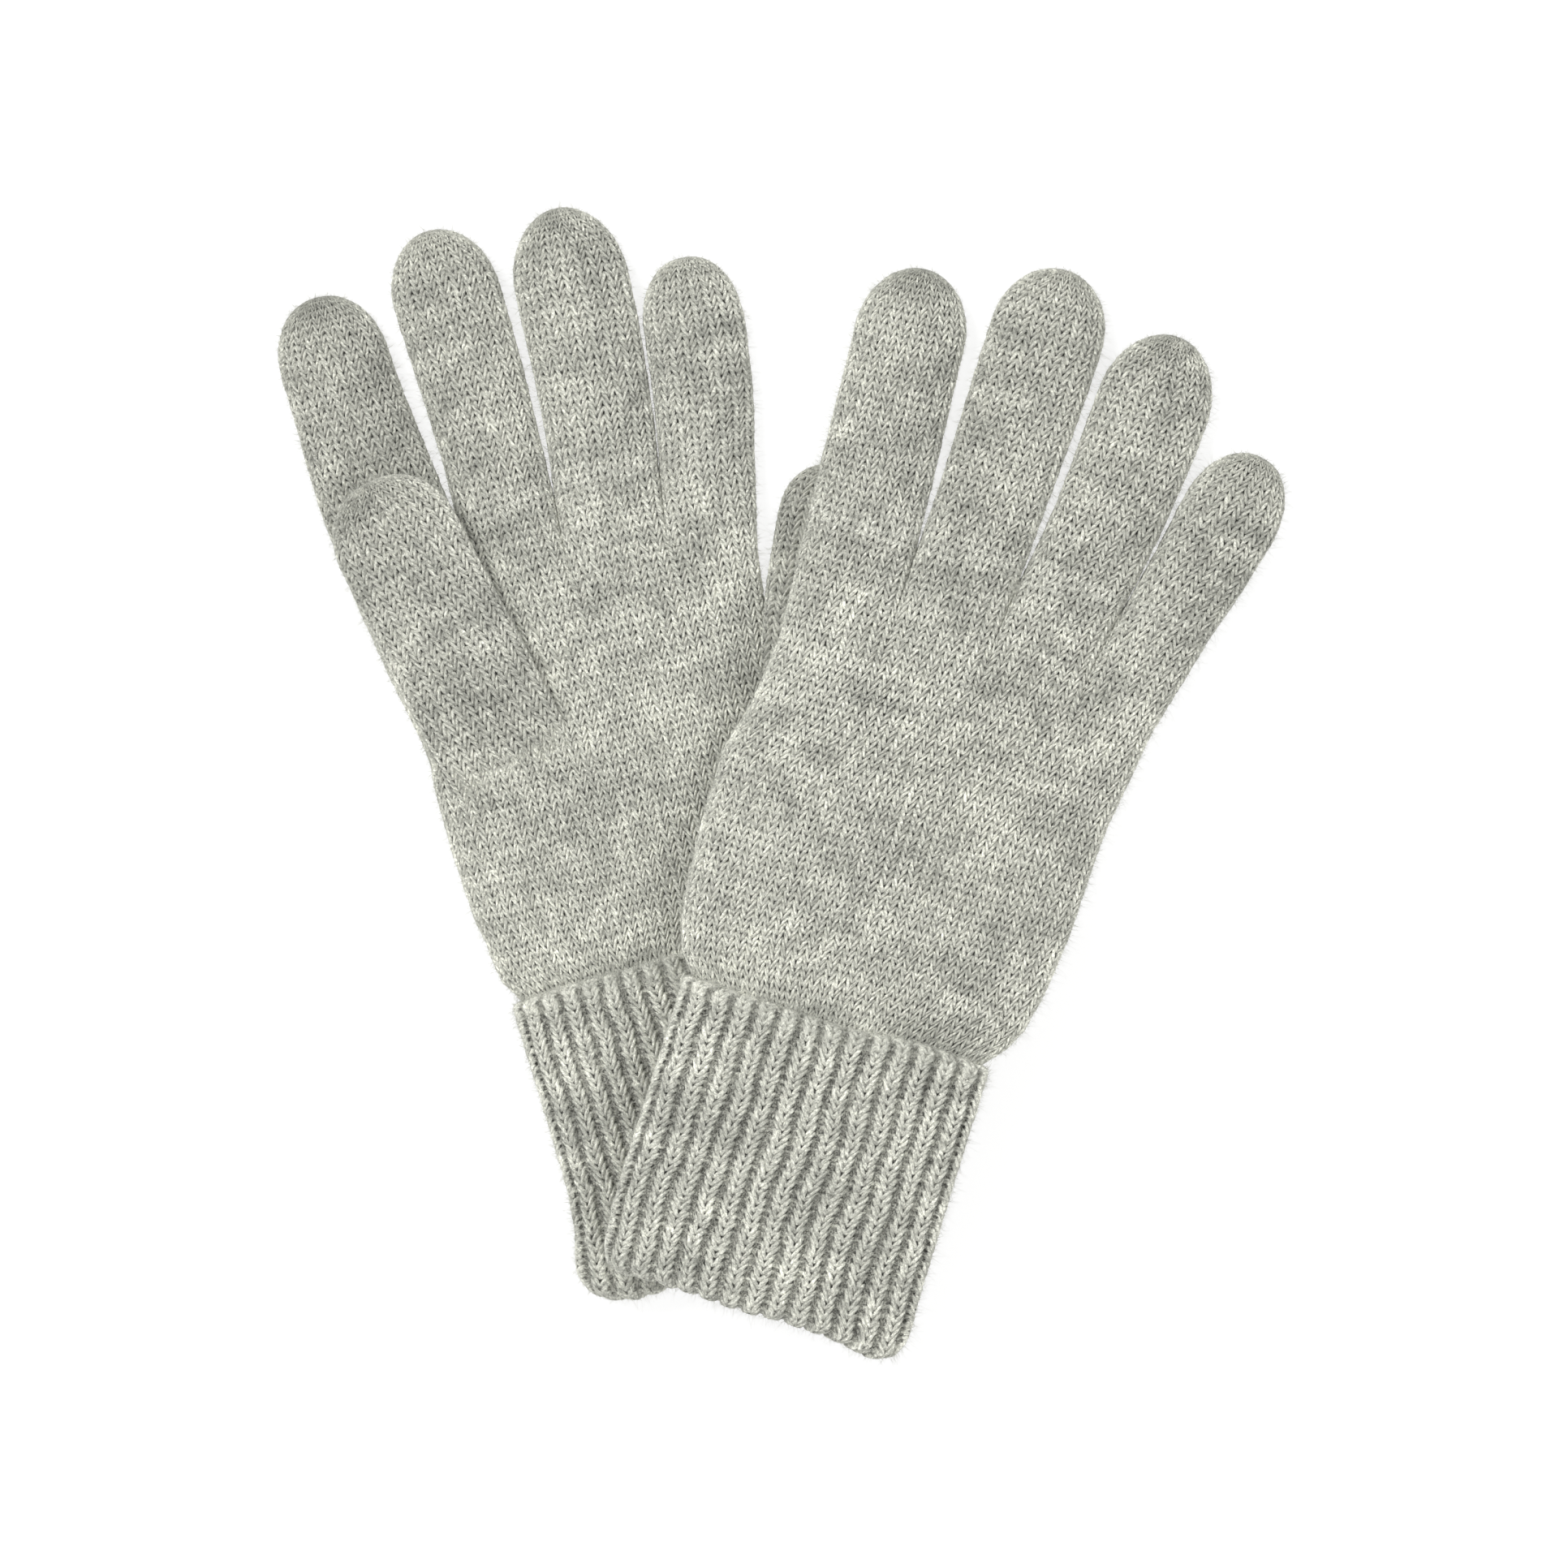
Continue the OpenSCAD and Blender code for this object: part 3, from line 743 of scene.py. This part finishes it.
class Graph:
    """A material's nodes. Inputs take numbers or Values, and outputs come as Values."""

    def __init__(self, name):
        self.material = bpy.data.materials.new(name)
        self.material.use_nodes = True
        self.tree = self.material.node_tree
        self.tree.nodes.clear()

    def node(self, kind, **settings):
        n = self.tree.nodes.new("ShaderNode" + kind)
        for key, value in settings.items():
            setattr(n, key, value)
        return n

    def feed(self, socket, value):
        if isinstance(value, Value):
            self.tree.links.new(value.socket, socket)
        else:
            socket.default_value = value

    def output(self, node, which=0):
        return Value(self, node.outputs[which])

    def math(self, operation, *values):
        n = self.node("Math", operation=operation)
        for socket, value in zip(n.inputs, values):
            self.feed(socket, value)
        return self.output(n)

    def attribute(self, name):
        return self.output(self.node("Attribute", attribute_name=name), "Vector")

    def split(self, vector):
        n = self.node("SeparateXYZ")
        self.feed(n.inputs[0], vector)
        return [Value(self, socket) for socket in n.outputs]

    def join(self, *parts):
        n = self.node("CombineXYZ")
        for socket, value in zip(n.inputs, parts):
            self.feed(socket, value)
        return self.output(n)

    def remap(self, value, lo, hi, to_lo, to_hi, kind="SMOOTHSTEP"):
        n = self.node("MapRange", interpolation_type=kind)
        for socket, x in zip(n.inputs, (value, lo, hi, to_lo, to_hi)):
            self.feed(socket, x)
        return self.output(n, "Result")

    def noise(self, vector, grain, detail, roughness, lo, hi, curl=0.0):
        """Noise of a vector in millimetres, with grains of this size, stretched from lo..hi to 0..1."""
        m = self.node("Mapping")
        m.inputs["Scale"].default_value = [1 / size for size in grain]
        self.feed(m.inputs["Vector"], vector)
        n = self.node("TexNoise")
        n.inputs["Scale"].default_value = 1.0
        n.inputs["Detail"].default_value = detail
        n.inputs["Roughness"].default_value = roughness
        n.inputs["Distortion"].default_value = curl
        self.feed(n.inputs["Vector"], self.output(m, "Vector"))
        return self.remap(self.output(n, "Fac"), lo, hi, 0.0, 1.0, "LINEAR")

    def blend(self, a, b, factor):
        """A colour from a to b."""
        n = self.node("Mix", data_type="RGBA")
        self.feed(n.inputs["Factor"], factor)
        for socket, colour in zip([i for i in n.inputs if i.type == "RGBA"], (a, b)):
            socket.default_value = (*colour, 1.0)
        return Value(self, [o for o in n.outputs if o.type == "RGBA"][0])

    def scaled(self, colour, factor):
        n = self.node("VectorMath", operation="SCALE")
        self.feed(n.inputs[0], colour)
        self.feed(n.inputs["Scale"], factor)
        return self.output(n, "Vector")


def leg_nodes(g, knit, chart, w, c):
    """Where a spot is on its leg, by the same sums as relief(): x off the stitch's middle,
    t up the leg, across it, ends 1 at its foot and head, body its roundness, own its number."""
    inside = g.math("FRACT", w) - 0.5
    x = abs(inside)
    t = g.math("MINIMUM", x / knit["half"], 1.0)
    ragged = g.noise(chart, (0.55, 0.7, 0.6), 2.0, 0.6, 0.30, 0.70)
    phase = c - t * knit["rise"] + (ragged - 0.5) * 0.20
    across = g.math("FRACT", phase) - 0.5
    ends = abs(t * 2.0 - 1.0)
    off = across * (2 * LEG_FILL) / (1.0 - ends ** 2.0 * SLIM_ENDS)
    body = g.math("SQRT", g.math("MAXIMUM", 0.0, 1.0 - off * off))
    white = g.node("TexWhiteNoise", noise_dimensions="3D")
    g.feed(white.inputs["Vector"], g.join(g.math("FLOOR", w), g.math("FLOOR", phase),
                                          g.math("GREATER_THAN", inside, 0.0)))
    return dict(x=x, t=t, across=across, ends=ends, body=body, own=g.output(white, "Value"))


def fibre_nodes(g, knit, leg):
    """Fine fibres along each leg, a little twisted round it."""
    slant = math.atan2(knit["half"] * knit["pitch"], knit["rise"] * knit["course"])
    along = leg["t"] * (knit["half"] * knit["pitch"] / math.sin(slant))
    over = leg["across"] * (knit["course"] * math.sin(slant)) + along * TWIST
    return g.noise(g.join(over, along, leg["own"] * 91.0), (0.20, 1.5, 1.0), 2.0, 0.65, 0.30, 0.70)


def heather_nodes(g, chart):
    """How much light wool there is: patches that run along the courses."""
    band = g.noise(chart, (24.0, 8.0, 20.0), 2.0, 0.5, 0.32, 0.68, 0.6)
    cloud = g.noise(chart, (16.0, 12.0, 15.0), 3.0, 0.6, 0.34, 0.66, 0.8)
    streak = g.noise(chart, (4.5, 2.6, 4.0), 2.0, 0.6, 0.30, 0.70)
    return band * 0.26 + cloud * 0.50 + streak * 0.24


def gap_shade_nodes(g, knit, chart, leg, nap, amount, gap_shade_tone, notch_shade):
    """Painted shade in the gaps round the legs, and on ribbing in the recess between ribs: a tone, 1 on a
    leg itself.
    """
    broken = g.noise(chart, (1.3, 1.1, 1.3), 2.0, 0.6, 0.30, 0.66)
    # painted shade: the line beside a leg is dark at its foot and head, and broken by loose fibres
    line = 1.0 - g.remap(leg["body"], 0.0, 0.78, 0.0, 1.0)
    line = line * (leg["ends"] ** 3.0 * 0.78 + 0.42)
    line = line * g.remap(broken, 0.0, 1.0, 0.40, 1.25, "LINEAR")
    # and painted shade where the yarn dips out of sight between two legs: a dash at each of their ends
    dash = g.remap(abs(leg["across"]), 0.10, 0.45, 0.25, 1.0)
    notch = leg["ends"] ** 6.0 * g.remap(broken, 0.0, 1.0, 0.25, notch_shade, "LINEAR") * dash
    darkest = g.math("MAXIMUM", line * (1.0 - gap_shade_tone), notch)
    gap = 1.0 - g.math("MINIMUM", darkest, 0.92)
    if knit["recess"]:
        # painted shade in the recess between two ribs, uneven with the nap
        between = g.remap(leg["x"], knit["half"] - 0.02, knit["half"] + 0.06, 0.0, 1.0)
        gap = gap * (1.0 - between) + g.remap(nap, 0.25, 0.75, 0.30, 0.78) * between
    # where stitches are gathered small, the painted shade lines between them fade to an even tone
    return gap * amount + (1.0 - amount) * 0.82


def wool(name, knit, light, dark, gap_shade_tone, fibre_tone, notch_shade=1.15, dusk=1.0, dusk_from=FINGER_LINE):
    """Heather wool with painted shade between its stitches. gap_shade_tone is the tone of the
    painted shade line beside a leg, fibre_tone the range of its fibres, notch_shade the
    strength of the painted shade dash at its ends, and dusk the tone that the yarn darkens
    to above v = dusk_from."""
    g = Graph(name)
    chart = g.attribute("chart")
    w, c, amount = g.split(g.attribute("stitch"))
    leg = leg_nodes(g, knit, chart, w, c)
    fibres = fibre_nodes(g, knit, leg)
    nap = g.noise(chart, (0.9, 1.5, 1.0), 3.0, 0.7, 0.30, 0.70, 2.2)

    # painted shade in the gaps and recesses between the stitches
    tone = gap_shade_nodes(g, knit, chart, leg, nap, amount, gap_shade_tone, notch_shade)
    tone = tone * g.remap(fibres, 0.0, 1.0, *fibre_tone, "LINEAR")
    tone = tone * g.remap(nap, 0.0, 1.0, 0.50, 1.44, "LINEAR")
    tone = tone * g.remap(leg["own"], 0.0, 1.0, 0.90, 1.10, "LINEAR")
    v = g.split(chart)[1]
    tone = tone * g.remap(v, FINGER_LINE - 40, FINGER_LINE + 20, 1.0, FINGER_TONE)
    if dusk != 1.0:
        tone = tone * g.remap(v, dusk_from, dusk_from + 22, 1.0, dusk)

    bump = g.node("Bump")
    bump.inputs["Strength"].default_value = 0.75
    bump.inputs["Distance"].default_value = 0.45 * MM
    g.feed(bump.inputs["Height"], fibres * 0.35 + leg["body"] * (amount * 0.40))

    bsdf = g.node("BsdfPrincipled")
    bsdf.inputs["Roughness"].default_value = 0.92
    bsdf.inputs["Specular IOR Level"].default_value = 0.1
    bsdf.inputs["Sheen Weight"].default_value = 0.15
    bsdf.inputs["Sheen Roughness"].default_value = 0.5
    g.feed(bsdf.inputs["Base Color"], g.scaled(g.blend(dark, light, heather_nodes(g, chart)), tone))
    g.feed(bsdf.inputs["Normal"], g.output(bump, "Normal"))
    out = g.node("OutputMaterial")
    g.feed(out.inputs["Surface"], g.output(bsdf, "BSDF"))
    return g.material


def plain_material(name, colour, roughness):
    mat = bpy.data.materials.new(name)
    mat.use_nodes = True
    bsdf = mat.node_tree.nodes["Principled BSDF"]
    bsdf.inputs["Base Color"].default_value = (*colour, 1)
    bsdf.inputs["Roughness"].default_value = roughness
    return mat


TWIST = 0.22          # how far a leg's fibres lean across it as they run along it
FINGER_TONE = 0.91    # the fingers' yarn beside the hand's
LIGHT_WOOL = (0.90, 0.90, 0.80)
DARK_WOOL = (0.424, 0.429, 0.380)
# each yarn paints shade into the gaps between its stitches
plain_wool = wool("plain_wool", PLAIN, LIGHT_WOOL, DARK_WOOL, gap_shade_tone=0.03, fibre_tone=(0.54, 1.44))
rib_wool = wool("rib_wool", RIB, LIGHT_WOOL, DARK_WOOL, gap_shade_tone=0.03, fibre_tone=(0.50, 1.46),
                notch_shade=0.60)
# the left index finger and the thumbs are knitted from darker stretches of the melange
dusky_wool = wool("dusky_wool", PLAIN, LIGHT_WOOL, DARK_WOOL, gap_shade_tone=0.03, fibre_tone=(0.50, 1.46),
                  dusk=0.88)
thumb_wool = wool("thumb_wool", PLAIN, LIGHT_WOOL, DARK_WOOL, gap_shade_tone=0.03, fibre_tone=(0.54, 1.44),
                  dusk=0.90, dusk_from=111)
# the bound-off edge lies loose, in smoother loops with fainter painted shade between them; its yarn is a
# lighter copy of the rib yarn, a painted highlight on the rounded edge
edge_highlight_wool = wool("edge_highlight_wool", RIB, tuple(1.05 * a for a in LIGHT_WOOL), tuple(1.2 * a for a in DARK_WOOL),
                 gap_shade_tone=0.45, fibre_tone=(0.75, 1.22))
fibre = plain_material("wool_fibre", (0.55, 0.555, 0.50), 0.9)


def add_fuzz(obj, per_mm2, length, seed):
    """A nap of fine loose fibres that stand out of the yarn."""
    area = sum(p.area for p in obj.data.polygons) / MM ** 2
    obj.data.materials.append(fibre)
    mod = obj.modifiers.new("nap", "PARTICLE_SYSTEM")
    system = mod.particle_system
    system.seed = seed
    cfg = system.settings
    cfg.type = "HAIR"
    cfg.count = int(area * per_mm2)
    cfg.hair_length = length * MM
    cfg.hair_step = 4
    cfg.display_step = 2
    cfg.render_step = 3
    cfg.length_random = 0.8
    cfg.factor_random = 0.35 * length * MM
    cfg.brownian_factor = 0.25 * length * MM
    cfg.tangent_factor = 0.0
    cfg.root_radius = 1.0
    cfg.tip_radius = 0.2
    cfg.radius_scale = 0.055 * MM
    cfg.material = len(obj.data.materials)
    cfg.use_modifier_stack = False


# ---------------------------------------------------------------- the pieces
def point(s, u, v, z):
    """A row-frame point in metres."""
    return tuple(place(s, np.array(float(u)), np.array(float(v)), z) * MM)


def in_place_of(node, obj, yarn):
    """Give a piece its yarn, and hide the CAD node it takes the place of."""
    obj.data.materials.append(yarn)
    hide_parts(node)
    return obj


KNUCKLE = 14          # a length of finger from the finger line; the points at its two ends are worked out and not used
# Two points on each thumb, u and v, where a bend would begin and end; nothing uses them
THUMB_BENDS = (((-18.5, 124), (-21, 142)), ((-18.6, 128), (-22, 144)))
FUZZ_PER_MM2, FUZZ_LENGTH = 1.1, 1.7

fuzzy = []            # the pieces with loose fibres, and how thick these stand
for s, side in enumerate(SIDES):
    palm = f"{side}_hand"
    hand = in_place_of(palm, make_hand(s), plain_wool)
    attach(hand, palm)
    fuzzy.append((hand, 1.0))

    for k, which in enumerate(FINGERS[s]):
        node = f"{side}_{which}_finger"
        yarn = dusky_wool if (s, which) == (LEFT, "index") else plain_wool
        finger = in_place_of(node, make_finger(s, k, which), yarn)
        base_u = (PARTINGS[s][k] + PARTINGS[s][k + 1]) / 2
        point(s, base_u, FINGER_LINE, 0)
        point(s, base_u, FINGER_LINE + KNUCKLE, 0)
        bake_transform(finger)
        fuzzy.append((finger, 1.0))

    thumb = in_place_of(f"{side}_thumb", make_thumb(s), thumb_wool)
    bend_start, bend_end = (point(s, u, v, 0) for u, v in THUMB_BENDS[s])
    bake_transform(thumb)
    fuzzy.append((thumb, 1.0))

    rib = in_place_of(f"{side}_wrist_rib", make_wrist_rib(s), rib_wool)
    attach(rib, palm)
    seam = in_place_of(f"{side}_wrist_seam", make_wrist_seam(s), plain_wool)
    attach(seam, palm)

    cuff = in_place_of(f"{side}_turned_cuff", make_turned_cuff(s), rib_wool)
    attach(cuff, f"{side}_cuff")
    fuzzy.append((cuff, 1.2))
    edge = in_place_of(f"{side}_cuff_edge", make_cuff_edge(s), edge_highlight_wool)
    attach(edge, f"{side}_cuff")
    fuzzy.append((edge, 2.5))

for k, (piece, thickness) in enumerate(fuzzy):
    add_fuzz(piece, FUZZ_PER_MM2 * thickness, FUZZ_LENGTH, seed=1 + k)

# ---------------------------------------------------------------- floor, light, camera
FLOOR = 3.0           # half its side, in metres
floor_mesh = bpy.data.meshes.new("floor")
floor_mesh.from_pydata([(-FLOOR, -FLOOR, 0), (FLOOR, -FLOOR, 0), (FLOOR, FLOOR, 0), (-FLOOR, FLOOR, 0)],
                       [], [(0, 1, 2, 3)])
floor = bpy.data.objects.new("floor", floor_mesh)
floor.location.z = -0.3 * MM
bpy.context.scene.collection.objects.link(floor)
white_floor = plain_material("floor_white", (0.30, 0.30, 0.30), 0.9)
glow = white_floor.node_tree.nodes["Principled BSDF"].inputs
glow["Emission Color"].default_value = (1, 1, 1, 1)
glow["Emission Strength"].default_value = 0.78
floor_mesh.materials.append(white_floor)


def area_light(name, place_at, size, power):
    """A round lamp that points at the gloves."""
    data = bpy.data.lights.new(name, "AREA")
    data.shape = "DISK"
    data.size = size
    data.energy = power
    obj = bpy.data.objects.new(name, data)
    obj.location = place_at
    obj.rotation_mode = "QUATERNION"
    obj.rotation_quaternion = (-Vector(place_at)).to_track_quat("-Z", "Y")
    bpy.context.scene.collection.objects.link(obj)


area_light("key", (-1.5, 1.1, 2.4), 1.2, 54.0)
area_light("fill", (0.9, -0.6, 1.4), 1.2, 7.0)
world = bpy.data.worlds.new("studio")
world.use_nodes = True
sky = world.node_tree.nodes["Background"].inputs
sky["Color"].default_value = (1.0, 1.0, 1.0, 1)
sky["Strength"].default_value = 0.62
bpy.context.scene.world = world
bpy.context.scene.view_settings.view_transform = "Standard"

# The photograph's frame is square and looks straight down, with the gloves in its middle
FRAME_SIDE = 0.3613   # at the height of the fabric
FABRIC_HEIGHT = 0.010
CAMERA_HEIGHT = 1.6
SENSOR = 36.0
camera_data = bpy.data.cameras.new("camera")
camera_data.sensor_width = SENSOR
camera_data.lens = SENSOR * (CAMERA_HEIGHT - FABRIC_HEIGHT) / FRAME_SIDE
camera = bpy.data.objects.new("camera", camera_data)
camera.location = (0, -0.0004, CAMERA_HEIGHT)
bpy.context.scene.collection.objects.link(camera)
bpy.context.scene.camera = camera
